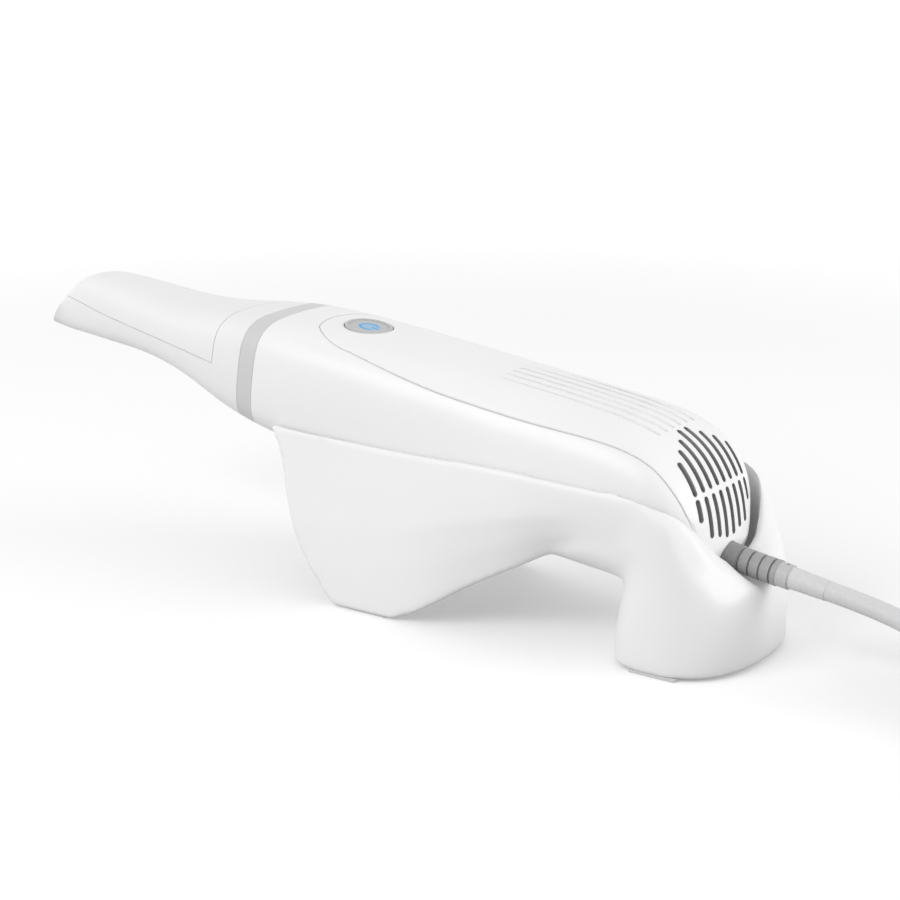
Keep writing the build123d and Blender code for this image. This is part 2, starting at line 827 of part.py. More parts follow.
def make_optics():
    """The bench with its two bulkheads, the camera and the projector that stand on it."""
    bench_rear_x = bench_front_x + bench_length
    half = bench_half_width
    bench = block(bench_front_x, bench_rear_x, -half, half, bench_top - bench_thickness, bench_top)
    for x in (bulkhead_first_x, bulkhead_second_x):
        bench += block(x, x + bulkhead_thickness, -half, half, bench_top, bulkhead_top)
    pieces = {}
    for name, y in (("camera", -barrel_y), ("projector", barrel_y)):
        bench -= rod(barrel_radius + barrel_clearance, -overrun, bench_rear_x, y)
        rear_x = barrel_front_x + barrel_length
        barrel = rod(barrel_radius, barrel_front_x, rear_x, y)
        barrel -= rod(barrel_radius - barrel_wall, -overrun, handle_length, y)
        lens_x = barrel_front_x + lens_inset
        lens = rod(barrel_radius - barrel_wall - joint_gap / 2, lens_x, lens_x + lens_thickness, y)
        pieces[name + "_barrel"] = barrel
        pieces[name + "_lens"] = lens
    for x, y, top in board_post_places():
        bench -= post(screw_shank_radius + joint_gap, x, y, bench_top - overrun, bench_top + joint_gap)
    rear_x = barrel_front_x + barrel_length
    sensor = block(
        rear_x + seat_gap,
        rear_x + seat_gap + sensor_thickness,
        -barrel_y - sensor_side / 2,
        -barrel_y + sensor_side / 2,
        -sensor_side / 2,
        sensor_side / 2,
    )
    board_x = rear_x + seat_gap + sensor_thickness
    board = block(
        board_x,
        board_x + board_thickness,
        -barrel_y - camera_board_half_width,
        -barrel_y + camera_board_half_width,
        bench_top,
        camera_board_top,
    )
    engine = block(
        rear_x + seat_gap,
        rear_x + seat_gap + engine_length,
        barrel_y - engine_half_width,
        barrel_y + engine_half_width,
        bench_top,
        engine_top,
    )
    sink_x = rear_x + seat_gap + engine_length
    sink = block(
        sink_x,
        sink_x + light_sink_base,
        barrel_y - engine_half_width,
        barrel_y + engine_half_width,
        bench_top,
        engine_top,
    )
    fin_step = (2 * engine_half_width - light_sink_fin) / (light_sink_fins - 1)
    for index in range(light_sink_fins):
        y = barrel_y - engine_half_width + index * fin_step
        sink += block(
            sink_x + light_sink_base, sink_x + light_sink_depth, y, y + light_sink_fin, bench_top, engine_top
        )
    pieces.update(
        {
            "optical_bench": bench,
            "camera_sensor": sensor,
            "camera_board": board,
            "light_engine": engine,
            "light_sink": sink,
        }
    )
    return pieces


# Electronics


def make_electronics():
    """The main board, the parts on it, the heat sink and the screws of board and bench."""
    board_low = main_board_top - board_thickness
    board = block(
        main_board_front_x,
        main_board_front_x + main_board_length,
        -main_board_half_width,
        main_board_half_width,
        board_low,
        main_board_top,
    )
    hole_radius = screw_shank_radius + joint_gap
    for x, y, top in board_post_places():
        board -= post(hole_radius, x, y, board_low - joint_gap, main_board_top + joint_gap)
    chip_top = main_board_top + chip_height
    half = processor_side / 2
    chips = block(processor_x - half, processor_x + half, -half, half, main_board_top, chip_top)
    for side in (-1, 1):
        chips += Pos(memory_x, side * memory_y, main_board_top + chip_height / 2) * Box(
            memory_length, memory_width, chip_height
        )
    chips += Pos(socket_x, 0, main_board_top + socket_height / 2) * Box(
        socket_length, socket_width, socket_height
    )
    half = sink_side / 2
    sink = block(processor_x - half, processor_x + half, -half, half, chip_top, chip_top + sink_base)
    fin_step = (sink_side - sink_fin) / (sink_fins - 1)
    for index in range(sink_fins):
        y = -half + index * fin_step
        sink += block(
            processor_x - half,
            processor_x + half,
            y,
            y + sink_fin,
            chip_top + sink_base,
            chip_top + sink_base + sink_fin_height,
        )
    screws = Part()
    for x, y, top in board_post_places():
        seat = main_board_top if x > main_board_front_x else bench_top
        screws += post(screw_head_radius, x, y, seat, seat + screw_head_height)
        screws += post(screw_shank_radius, x, y, top - screw_length + joint_gap, seat)
    return {"main_board": board, "main_chips": chips, "chip_sink": sink, "board_screws": screws}


# Fan


def make_fan():
    """The fan's frame with its hub and spokes, and the rotor that turns on the hub's shaft."""
    rear_x = fan_front_x + fan_depth
    half = fan_side / 2
    frame = block(fan_front_x, rear_x, -half, half, fan_mid_z - half, fan_mid_z + half)
    frame = fillet(frame.edges().filter_by(Axis.X), fan_corner_radius)
    frame -= rod(fan_duct_radius, fan_front_x - overrun, rear_x + overrun, 0, fan_mid_z)
    for index in range(fan_spokes):
        spoke = Pos(0, 0, (fan_duct_radius + fan_hub_radius) / 2) * Box(
            fan_plate, fan_spoke_width, fan_duct_radius - fan_hub_radius + 2 * joint_gap
        )
        turn = Rot(360 / fan_spokes * (index + 1 / 2), 0, 0)
        frame += Pos(fan_front_x + fan_plate / 2, 0, fan_mid_z) * turn * spoke
    frame += rod(fan_hub_radius + joint_gap, fan_front_x, fan_front_x + fan_plate, 0, fan_mid_z)
    rotor_x = fan_front_x + fan_plate + rotor_gap
    frame += rod(shaft_radius, fan_front_x, rotor_x + rotor_depth, 0, fan_mid_z)
    rotor = rod(rotor_hub_radius, rotor_x, rotor_x + rotor_depth, 0, fan_mid_z)
    for index in range(rotor_blades):
        blade = (
            Pos(0, 0, (rotor_radius + rotor_hub_radius) / 2)
            * Rot(0, 0, blade_pitch)
            * Box(rotor_depth, blade_thickness, rotor_radius - rotor_hub_radius)
        )
        root = Pos(0, 0, rotor_hub_radius) * Rot(0, 0, blade_pitch) * Box(
            rotor_depth, blade_thickness, blade_thickness
        )
        turn = Rot(360 / rotor_blades * index, 0, 0)
        rotor += Pos(rotor_x + rotor_depth / 2, 0, fan_mid_z) * turn * (blade + root)
    envelope = rod(rotor_radius, rotor_x, rotor_x + rotor_depth, 0, fan_mid_z)
    rotor = rotor & envelope
    rotor -= rod(shaft_radius + shaft_clearance, fan_front_x, rear_x, 0, fan_mid_z)
    return {"fan_frame": frame, "fan_rotor": rotor}


# Screws of the handle's two halves


def make_housing_screws():
    """Four screws put in from below."""
    screws = Part()
    for x, y in housing_screw_places():
        head_top = housing_screw_head_z + housing_screw_head_height
        screws += post(housing_screw_head_radius, x, y, housing_screw_head_z, head_top)
        shank_top = housing_screw_head_z + housing_screw_length
        screws += post(housing_screw_radius, x, y, head_top, shank_top)
    return {"housing_screws": screws}


# Cable end on the handpiece


def make_cable_end():
    """The gland inside the tail, and the collar, relief, end ring and sleeve behind it."""
    z = cable_axis_z
    bore = rod(cable_radius + joint_gap, gland_front_x - overrun, sleeve_rear_x + overrun, 0, z)
    gland = rod(gland_radius, gland_front_x, gland_front_x + gland_length, 0, z)
    gland -= bore
    collar = rod(collar_radius, collar_front_x, collar_rear_x, 0, z) - bore
    relief = rod(relief_radius, collar_rear_x, relief_rear_x, 0, z)
    for index in range(relief_grooves):
        groove_x = relief_first_groove_x + index * relief_groove_pitch
        groove = rod(relief_radius + joint_gap, groove_x, groove_x + relief_groove_width, 0, z)
        relief -= groove - rod(relief_groove_radius, groove_x, groove_x + relief_groove_width, 0, z)
    relief -= bore
    ring = rod(end_ring_radius, relief_rear_x, end_ring_rear_x, 0, z)
    ring -= post(
        end_ring_hole_radius, end_ring_hole_x, 0, z + end_ring_radius - end_ring_hole_depth, overrun
    )
    ring -= bore
    profile = Plane.XZ * make_face(
        Polyline(
            (end_ring_rear_x, z),
            (end_ring_rear_x, z + sleeve_front_radius),
            (sleeve_rear_x, z + sleeve_rear_radius),
            (sleeve_rear_x, z),
            close=True,
        )
    )
    sleeve = revolve(profile, Axis((end_ring_rear_x, 0, z), (1, 0, 0)))
    sleeve -= rod(cable_radius + joint_gap, end_ring_rear_x - joint_gap, sleeve_rear_x - cable_radius, 0, z)
    return {
        "cable_gland": gland,
        "cable_collar": collar,
        "strain_relief": relief,
        "relief_ring": ring,
        "cable_sleeve": sleeve,
    }


# Cradle


def creased_body(sections):
    """A solid through polygon sections, with a smooth line through each row of corners."""
    lines = [Edge.make_spline([Vector(*point) for point in corner]) for corner in zip(*sections)]
    faces = [Face.make_surface_from_curves(*pair) for pair in zip(lines, lines[1:] + lines[:1])]
    for points in (sections[0], sections[-1]):
        faces.append(make_face(Polyline(*points, close=True)).face())
    return Solid(Shell(faces))


def wing_section(row, thickness, spread):
    """One polygon across the cradle: rim, three creases and lower edge on each side."""
    x = cradle_front_x + row[0] * cradle_length
    points = [(across * rim_half_width - thickness, up * rim_height) for across, up in row[1:]]
    if spread:
        rim_y, rim_z = points[0]
        edge_y, edge_z = points[-1]
        points = [(rim_y, rim_z + spread), *points[1:], (edge_y, edge_z - spread)]
    left = [(x, -y, z) for y, z in points]
    right = [(x, y, z) for y, z in reversed(points)]
    return left + right


def wing_block(thickness, spread):
    """The space between the wings' outer faces, or their inner faces for a thickness."""
    return creased_body([wing_section(row, thickness, spread) for row in wing_station_shares])


def leg_section(front_x, rear_x, half_width, squareness):
    """A closed curve round the leg, squarer in front than behind."""
    middle_x = cradle_front_x + leg_middle_share * cradle_length
    points = []
    for index in range(leg_points):
        angle = 2 * math.pi * (index + 1 / 2) / leg_points
        behind = math.cos(angle) > 0
        power = leg_rear_squareness if behind else squareness
        reach = rear_x - middle_x if behind else middle_x - front_x
        along = math.copysign(abs(math.cos(angle)) ** (2 / power), math.cos(angle))
        across = math.copysign(abs(math.sin(angle)) ** (2 / power), math.sin(angle))
        points.append(Vector(middle_x + along * reach, across * half_width))
    return make_face(Edge.make_spline(points, periodic=True))


def leg_block(inset, top):
    """The rear leg's outer form, or its hollow for an inset, up to a height."""
    faces = []
    for up, front, across, squareness in leg_station_shares:
        front_x = cradle_front_x + front * cradle_length + inset
        rear_x = cradle_front_x + cradle_length - inset
        outline = leg_section(front_x, rear_x, across * leg_half_width - inset, squareness)
        faces.append(Pos(0, 0, up * rim_height) * outline)
    solid = loft(faces, ruled=True)
    reach = cradle_length
    return solid & block(-reach, reach, -reach, reach, -overrun, top)


def roof_block():
    """The space above the cradle's rim, which dips round the tail and slopes at the sides."""
    sections = []
    middle_y = roof_middle_share * rim_half_width
    for along, middle, ridge, across, drop in roof_station_shares:
        x = cradle_front_x + along * cradle_length
        ridge_z = ridge * rim_height
        half = [
            (middle_y, middle * rim_height),
            (across * rim_half_width, ridge_z),
            (roof_reach, ridge_z - drop * rim_height),
            (roof_reach, roof_top),
        ]
        left = [(x, -y, z) for y, z in reversed(half)]
        right = [(x, y, z) for y, z in half]
        sections.append(left + right)
    return creased_body(sections)


def wing_side_zone():
    """The side view of the wings: all that lies behind their slanting front edge."""
    points = []
    for along, up in wing_front_shares:
        points.append((cradle_front_x + along * cradle_length, up * rim_height))
    edge = Spline(*points)
    top_x = points[0][0]
    low_z = points[-1][1]
    far_x = cradle_front_x + cradle_length + overrun
    rest = Polyline(points[-1], (far_x, low_z), (far_x, roof_top), (top_x, roof_top), points[0])
    return extrude(Plane.XZ * make_face([edge, rest]), overrun * 2, both=True)


def held(piece):
    """A piece of the handpiece, tilted nose up and lifted to its place in the cradle."""
    return Location((handle_front_x, 0, handle_front_z), (0, nose_up_angle, 0)) * piece


def make_cradle():
    """The one-piece cradle and its soft pads."""
    reach = cradle_length
    rear_x = cradle_front_x + cradle_length
    roof = roof_block()
    room = held(skin(-trough_clearance, len(tip_station_shares) - 1))
    trough = held(skin(-trough_clearance - trough_wall, len(tip_station_shares) - 1))
    side_view = wing_side_zone()
    hull = (wing_block(0, 0) & side_view) + (trough & (wing_block(0, overrun) & side_view))
    wings = hull - [roof, room, wing_block(wing_thickness, overrun) - trough]
    leg = (leg_block(0, roof_top) - roof) - [room, leg_block(leg_wall, leg_hollow_top) - trough]
    body = wings + leg
    band = held(skin(-trough_clearance - joint_gap, len(tip_station_shares) - 1))
    rest = held(skin(-rest_gap, len(tip_station_shares) - 1))
    ribs = []
    for x in rest_rib_x:
        half = rim_half_width * rest_rib_half_width_share
        ribs.append(block(x, x + rest_rib_width, -half, half, 0, rim_height))
    body += ((Part() + ribs) & band) - rest
    sleeve_room = collar_radius + trough_clearance
    pads = Part()
    for length, width, x, y in (
        (wing_pad_length, wing_pad_width, wing_pad_x, wing_pad_y),
        (leg_pad_length, leg_pad_width, leg_pad_x, leg_pad_y),
    ):
        pad = extrude(SlotOverall(length, width), pad_thickness)
        pads += both_sides(Pos(x, y, 0) * pad)
    cuts = [
        held(rod(sleeve_room, collar_front_x, sleeve_rear_x, 0, cable_axis_z)),
        held(block(collar_front_x, sleeve_rear_x, -sleeve_room, sleeve_room, cable_axis_z, overrun)),
        block(-reach, reach, -reach, reach, -overrun, pad_proud),
        pads,
    ]
    return {"cradle": body - cuts, "foot_pads": pads}


# Cable, coil and plug in the row frame


def bend_radii(points):
    """The largest even arc for each corner of a cable's route."""
    radii = []
    for before, corner, after in zip(points, points[1:], points[2:]):
        first = Vector(*corner) - Vector(*before)
        second = Vector(*after) - Vector(*corner)
        turn = math.radians(first.get_angle(second))
        radii.append(cable_bend_share * min(first.length, second.length) / math.tan(turn / 2))
    return radii


def tube(points):
    """A round tube along straight runs joined by tangent arcs."""
    radii = bend_radii(points)
    print("bend radii", [round(radius) for radius in radii])
    path = FilletPolyline(*points, radius=radii)
    start = Plane(origin=path @ 0, z_dir=path % 0)
    return sweep(start * Circle(cable_radius), path=path)


def make_cable():
    """The cable to its coil, the coil with its tie, and the tail to the plug."""
    exit_point = held(Pos(sleeve_rear_x, 0, cable_axis_z)).position
    route = [(exit_point.X, exit_point.Y, exit_point.Z), *cable_points]
    outer_radius = coil_outer_turn + cable_radius
    inner_radius = coil_outer_turn - coil_turns * coil_pitch - cable_radius
    height = coil_layers * coil_pitch
    ring = Cylinder(outer_radius, height) - Cylinder(inner_radius, height)
    place = Pos(coil_centre[0], coil_centre[1], coil_lift + height / 2)
    wrap = Cylinder(outer_radius + tie_thickness, height + 2 * tie_thickness)
    wrap -= Cylinder(inner_radius - tie_thickness, height + 2 * tie_thickness)
    slab = Rot(0, 0, tie_angle) * Pos(outer_radius, 0, 0) * Box(2 * outer_radius, tie_width, 2 * height)
    tie = (wrap & slab) - ring
    return {
        "cable": tube(route),
        "cable_coil": place * ring,
        "coil_tie": place * tie,
        "cable_tail": tube(list(tail_points)),
    }


def make_plug():
    """The plug: tapered relief, moulded body, metal shell and the tongue inside it."""
    last, before = Vector(*tail_points[-1]), Vector(*tail_points[-2])
    along = last - before
    turn = math.degrees(math.atan2(along.Y, along.X))
    place = Pos(last.X, last.Y, last.Z) * Rot(0, 0, turn)
    profile = Plane.XZ * make_face(
        Polyline(
            (0, 0),
            (0, plug_relief_rear_radius),
            (plug_relief_length, plug_relief_front_radius),
            (plug_relief_length, 0),
            close=True,
        )
    )
    relief = revolve(profile, Axis.X)
    body_x = plug_relief_length
    face = Plane.YZ * RectangleRounded(plug_body_width, plug_body_height, plug_body_corner)
    body = Pos(body_x, 0, 0) * extrude(face, plug_body_length)
    shell_x = body_x + plug_body_length
    shell_end = shell_x + plug_shell_length
    half_width, half_height = plug_shell_width / 2, plug_shell_height / 2
    shell = block(shell_x, shell_end, -half_width, half_width, -half_height, half_height)
    inner_width, inner_height = half_width - plug_shell_wall, half_height - plug_shell_wall
    shell_from, shell_to = shell_x - joint_gap, shell_end + overrun
    shell -= block(shell_from, shell_to, -inner_width, inner_width, -inner_height, inner_height)
    tongue_low = -inner_height + joint_gap
    tongue = block(
        shell_x,
        shell_end - plug_shell_wall,
        -inner_width + joint_gap,
        inner_width - joint_gap,
        tongue_low,
        tongue_low + plug_tongue_height,
    )
    pieces = {"plug_relief": relief, "plug_body": body, "plug_shell": shell, "plug_tongue": tongue}
    return {name: place * piece for name, piece in pieces.items()}


def main():
    """Build every piece and write one STEP file for each."""
    os.makedirs("parts", exist_ok=True)
    handpiece = {}
    for make in (
        make_tip,
        make_nose,
        make_handle,
        make_button,
        make_optics,
        make_electronics,
        make_fan,
        make_housing_screws,
        make_cable_end,
    ):
        handpiece.update(make())
    pieces = {name: held(piece) for name, piece in handpiece.items()}
    for make in (make_cradle, make_cable, make_plug):
        pieces.update(make())
    for name, piece in pieces.items():
        export_step(piece, "parts/" + name + ".step")


main()
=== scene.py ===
import json
import math

import bmesh
import bpy
from mathutils import Matrix, Vector
from mathutils.bvhtree import BVHTree


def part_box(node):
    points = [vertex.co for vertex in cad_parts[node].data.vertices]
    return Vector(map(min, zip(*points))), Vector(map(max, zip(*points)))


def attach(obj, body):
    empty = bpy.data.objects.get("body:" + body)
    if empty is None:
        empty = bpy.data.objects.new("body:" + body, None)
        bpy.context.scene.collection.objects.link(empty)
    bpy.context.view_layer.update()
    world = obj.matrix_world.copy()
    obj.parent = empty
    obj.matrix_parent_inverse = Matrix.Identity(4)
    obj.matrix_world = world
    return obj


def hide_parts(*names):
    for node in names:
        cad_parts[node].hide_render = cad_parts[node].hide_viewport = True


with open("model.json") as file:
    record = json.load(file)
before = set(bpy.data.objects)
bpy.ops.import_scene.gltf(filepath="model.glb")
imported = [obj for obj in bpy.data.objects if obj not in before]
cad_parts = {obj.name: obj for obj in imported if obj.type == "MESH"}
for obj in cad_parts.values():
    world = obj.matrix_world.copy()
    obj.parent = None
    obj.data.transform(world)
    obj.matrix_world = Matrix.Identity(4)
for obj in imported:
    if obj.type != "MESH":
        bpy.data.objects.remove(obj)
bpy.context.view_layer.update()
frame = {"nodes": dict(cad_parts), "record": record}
nodes = frame["nodes"]
print("frame loaded:", len(nodes), "pieces")


# camera, at the photograph's angle

camera = {
    "target": (0.0261, 0.0, 0.0465),
    "azimuth": 35.0,
    "elevation": 16.0,
    "distance": 0.69887,
    "lens": 88.0,
    "sensor": 36.0,
}


def fromAngles(azimuth, elevation):
    az, el = math.radians(azimuth), math.radians(elevation)
    return Vector((math.sin(az) * math.cos(el), -math.cos(az) * math.cos(el), math.sin(el)))


def lookAt(obj, place, target):
    obj.location = place
    obj.rotation_euler = (Vector(target) - Vector(place)).to_track_quat("-Z", "Y").to_euler()


def addCamera():
    data = bpy.data.cameras.new("studioCamera")
    data.lens = camera["lens"]
    data.sensor_width = camera["sensor"]
    data.sensor_fit = "HORIZONTAL"
    obj = bpy.data.objects.new("studioCamera", data)
    bpy.context.scene.collection.objects.link(obj)
    target = Vector(camera["target"])
    lookAt(obj, target + fromAngles(camera["azimuth"], camera["elevation"]) * camera["distance"], target)
    bpy.context.scene.camera = obj


addCamera()
print("camera placed")


# small tools for node trees and meshes


def newMaterial(name):
    material = bpy.data.materials.new(name)
    material.use_nodes = True
    return material, material.node_tree, material.node_tree.nodes["Principled BSDF"]


def addNode(tree, kind, **values):
    node = tree.nodes.new(kind)
    for key, value in values.items():
        if hasattr(node, key):
            setattr(node, key, value)
        else:
            node.inputs[key].default_value = value
    return node


def objectCoordinates(tree, scale=(1, 1, 1)):
    coordinates = addNode(tree, "ShaderNodeTexCoord")
    mapping = addNode(tree, "ShaderNodeMapping")
    mapping.inputs["Scale"].default_value = scale
    tree.links.new(coordinates.outputs["Object"], mapping.inputs["Vector"])
    return mapping.outputs["Vector"]


noiseLook = {
    "detail": 3,
    "roughness": 0.55,
    "low": 0.3,
    "high": 0.7,
}


def linear(value):  # a screen level from 0 to 1, as light
    return value / 12.92 if value <= 0.04045 else ((value + 0.055) / 1.055) ** 2.4


def tone(level, tint=(0, 0, 0)):
    return tuple(linear((level + shift) / 255) for shift in tint) + (1,)


def noiseMix(tree, vector, scale, low, high):
    noise = addNode(tree, "ShaderNodeTexNoise", Scale=scale)
    noise.inputs["Detail"].default_value = noiseLook["detail"]
    noise.inputs["Roughness"].default_value = noiseLook["roughness"]
    ramp = addNode(tree, "ShaderNodeMapRange")
    ramp.inputs["From Min"].default_value = noiseLook["low"]
    ramp.inputs["From Max"].default_value = noiseLook["high"]
    ramp.inputs["To Min"].default_value = low
    ramp.inputs["To Max"].default_value = high
    tree.links.new(vector, noise.inputs["Vector"])
    tree.links.new(noise.outputs["Fac"], ramp.inputs["Value"])
    return ramp.outputs["Result"]


def colourMix(tree, factor, dark, light):
    mix = addNode(tree, "ShaderNodeMix", data_type="RGBA")
    for socket in mix.inputs:
        if socket.type == "RGBA":
            socket.default_value = dark if socket.name == "A" else light
    tree.links.new(factor, mix.inputs["Factor"])
    return [socket for socket in mix.outputs if socket.type == "RGBA"][0]


def addBump(tree, shader, vector, grain, rounding=0.0):
    noise = addNode(tree, "ShaderNodeTexNoise", Scale=grain["scale"], Detail=2)
    bump = addNode(tree, "ShaderNodeBump", Strength=grain["strength"], Distance=grain["depth"])
    tree.links.new(vector, noise.inputs["Vector"])
    tree.links.new(noise.outputs["Fac"], bump.inputs["Height"])
    if rounding:  # rounds the edges in the shading only
        bevel = addNode(tree, "ShaderNodeBevel", samples=4)
        bevel.inputs["Radius"].default_value = rounding
        tree.links.new(bevel.outputs["Normal"], bump.inputs["Normal"])
    tree.links.new(bump.outputs["Normal"], shader.inputs["Normal"])


# moulded plastic, rubber, metal, glass and board finishes

satinGrain = {"scale": 3800, "depth": 0.00002, "strength": 0.12}
fineGrain = {"scale": 5200, "depth": 0.000015, "strength": 0.1}
etchedGrain = {"scale": 2400, "depth": 0.00004, "strength": 0.3}
rubberGrain = {"scale": 2600, "depth": 0.00006, "strength": 0.45}
plasticLook = {"cloudScale": 14, "sheenScale": 420, "sheenSpread": 0.03, "specular": 0.45}
rubberLook = {"speckleScale": 900, "sheenScale": 300, "sheenSpread": 0.05, "specular": 0.35}
metalLook = {"streakScale": 40, "sheenScale": 60, "sheenSpread": 0.08, "stretch": (60, 60, 4)}
glassLook = {
    "tintScale": 30,
    "deepShare": 0.96,
    "sheenScale": 200,
    "roughness": (0.02, 0.05),
    "transmission": 0.9,
    "refraction": 1.5,
}
boardLook = {
    "trackScale": 260,
    "trackWidth": 0.012,
    "deepShare": 0.8,
    "sheenScale": 300,
    "roughness": (0.3, 0.42),
}


def deeper(colour, share):
    return tuple(part * share for part in colour[:3]) + (1,)


def mottle(tree, shader, vector, scale, dark, light):
    spots = noiseMix(tree, vector, scale, 0, 1)
    tree.links.new(colourMix(tree, spots, dark, light), shader.inputs["Base Color"])


def varySheen(tree, shader, vector, scale, low, high):
    tree.links.new(noiseMix(tree, vector, scale, low, high), shader.inputs["Roughness"])


def spreadSheen(tree, shader, vector, rough, look):
    spread = look["sheenSpread"]
    varySheen(tree, shader, vector, look["sheenScale"], rough - spread, rough + spread)


def mouldedPlastic(name, dark, light, rough, grain, rounding=0.0):
    material, tree, shader = newMaterial(name)
    vector = objectCoordinates(tree)
    mottle(tree, shader, vector, plasticLook["cloudScale"], dark, light)
    spreadSheen(tree, shader, vector, rough, plasticLook)
    addBump(tree, shader, vector, grain, rounding)
    shader.inputs["Specular IOR Level"].default_value = plasticLook["specular"]
    return material


def softRubber(name, dark, light, rough):
    material, tree, shader = newMaterial(name)
    vector = objectCoordinates(tree)
    mottle(tree, shader, vector, rubberLook["speckleScale"], dark, light)
    spreadSheen(tree, shader, vector, rough, rubberLook)
    addBump(tree, shader, vector, rubberGrain)
    shader.inputs["Specular IOR Level"].default_value = rubberLook["specular"]
    return material


def brushedMetal(name, dark, light, rough, stretch=metalLook["stretch"]):
    material, tree, shader = newMaterial(name)
    vector = objectCoordinates(tree, stretch)
    mottle(tree, shader, vector, metalLook["streakScale"], dark, light)
    spreadSheen(tree, shader, vector, rough, metalLook)
    shader.inputs["Metallic"].default_value = 1.0
    return material


def clearGlass(name, colour):
    material, tree, shader = newMaterial(name)
    vector = objectCoordinates(tree)
    mottle(tree, shader, vector, glassLook["tintScale"], deeper(colour, glassLook["deepShare"]), colour)
    varySheen(tree, shader, vector, glassLook["sheenScale"], *glassLook["roughness"])
    shader.inputs["Transmission Weight"].default_value = glassLook["transmission"]
    shader.inputs["IOR"].default_value = glassLook["refraction"]
    return material


def circuitBoard(name, mask, copper):
    material, tree, shader = newMaterial(name)
    vector = objectCoordinates(tree)
    tracks = addNode(tree, "ShaderNodeTexBrick", Scale=boardLook["trackScale"])
    tracks.inputs["Color1"].default_value = mask
    tracks.inputs["Color2"].default_value = deeper(mask, boardLook["deepShare"])
    tracks.inputs["Mortar"].default_value = copper
    tracks.inputs["Mortar Size"].default_value = boardLook["trackWidth"]
    tree.links.new(vector, tracks.inputs["Vector"])
    tree.links.new(tracks.outputs["Color"], shader.inputs["Base Color"])
    varySheen(tree, shader, vector, boardLook["sheenScale"], *boardLook["roughness"])
    return material


edgeRounding = 0.0005  # of the handle's and the tip's shells
symbolBlues = tone(150, (-92, 6, 66)), tone(156, (-88, 8, 68))
finishes = {
    "white_shell": mouldedPlastic("whiteShell", tone(243), tone(247), 0.36, satinGrain, edgeRounding),
    "cradle_shell": mouldedPlastic("cradleShell", tone(242), tone(246), 0.42, satinGrain),
    "tip_shell": mouldedPlastic("tipShell", tone(238), tone(242), 0.34, fineGrain, edgeRounding),
    "ring_grey": mouldedPlastic("ringGrey", tone(208), tone(213), 0.34, fineGrain),
    "button_grey": mouldedPlastic("buttonGrey", tone(186), tone(194), 0.38, etchedGrain),
    "symbol_blue": mouldedPlastic("symbolBlue", *symbolBlues, 0.3, fineGrain),
    "mirror_face": brushedMetal("mirrorFace", tone(236), tone(246), 0.1, (4, 4, 4)),
    "soft_grey": softRubber("softGrey", tone(86), tone(96), 0.62),
    "relief_grey": softRubber("reliefGrey", tone(164), tone(172), 0.5),
    "cable_grey": softRubber("cableGrey", tone(212), tone(219), 0.46),
    "inner_black": mouldedPlastic("innerBlack", tone(36), tone(44), 0.5, etchedGrain),
    "bench_metal": brushedMetal("benchMetal", tone(190), tone(208), 0.32),
    "lens_glass": clearGlass("lensGlass", tone(236, (-6, 0, 4))),
    "board_green": circuitBoard("boardGreen", tone(60, (-36, 24, -10)), tone(120, (20, 0, -50))),
    "chip_black": mouldedPlastic("chipBlack", tone(30), tone(38), 0.42, etchedGrain),
    "screw_steel": brushedMetal("screwSteel", tone(176), tone(198), 0.28),
}
endRingGrey = softRubber("endRingGrey", tone(190), tone(197), 0.46)
collarGrey = softRubber("collarGrey", tone(148), tone(156), 0.5)
# painted shade: a grey for the slots' walls, in place of the shade inside the slots
slotPaintedShade = mouldedPlastic("slotPaintedShade", tone(160), tone(168), 0.5, fineGrain)
slotOf = {row["node"]: row["material_slot"] for row in frame["record"]["subparts"]}
bodyOf = {node: body for body, group in frame["record"]["behaviour"]["bodies"].items() for node in group}


def paint(obj, material):
    obj.data.materials.clear()
    obj.data.materials.append(material)


def dress(obj, finish):
    paint(obj, finishes[finish])


for nodeName, obj in nodes.items():
    dress(obj, slotOf[nodeName])
print("finishes made:", len(finishes))


# handle's own frame: its origin, and its axis's slope down to the tail in degrees

handleFrame = {
    "origin": (-0.0349, 0.0, 0.06535),
    "tilt": 8.0,
}


# visible shells: merged, smooth-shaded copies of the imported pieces, each with its sharp angle

shells = {
    "lower_housing": ("lowerHousingForm", 28),
    "top_cover": ("topCoverForm", 28),
    "collar_ring": ("collarRingForm", 28),
    "power_button": ("powerButtonForm", 30),
    "button_symbol": ("buttonSymbolForm", 30),
    "tip_body": ("tipBodyForm", 28),
    "tip_cover": ("tipCoverForm", 28),
    "tip_mirror": ("tipMirrorForm", 30),
    "nose_housing": ("noseHousingForm", 30),
    "nose_window": ("noseWindowForm", 30),
    "nose_seal": ("noseSealForm", 40),
    "camera_barrel": ("cameraBarrelForm", 30),
    "camera_lens": ("cameraLensForm", 30),
    "projector_barrel": ("projectorBarrelForm", 30),
    "projector_lens": ("projectorLensForm", 30),
    "fan_frame": ("fanFrameForm", 30),
    "fan_rotor": ("fanRotorForm", 30),
    "board_screws": ("boardScrewsForm", 30),
    "housing_screws": ("housingScrewsForm", 30),
    "foot_pads": ("footPadsForm", 30),
    "cable_gland": ("cableGlandForm", 30),
    "cable_collar": ("cableCollarForm", 30),
    "strain_relief": ("strainReliefForm", 30),
    "relief_ring": ("reliefRingForm", 30),
    "cable_sleeve": ("cableSleeveForm", 30),
    "coil_tie": ("coilTieForm", 30),
    "plug_relief": ("plugReliefForm", 30),
    "plug_body": ("plugBodyForm", 30),
}
dressed = {}
mergeDistance = 0.000002
thinnestEdge = 0.000001


def mergedMesh(nodeName, name):
    mesh = nodes[nodeName].data.copy()
    mesh.name = name
    work = bmesh.new()
    work.from_mesh(mesh)
    bmesh.ops.remove_doubles(work, verts=work.verts, dist=mergeDistance)
    bmesh.ops.dissolve_degenerate(work, edges=work.edges, dist=thinnestEdge)
    work.to_mesh(mesh)
    work.free()
    if mesh.has_custom_normals:
        mesh.attributes.remove(mesh.attributes["custom_normal"])
    return mesh


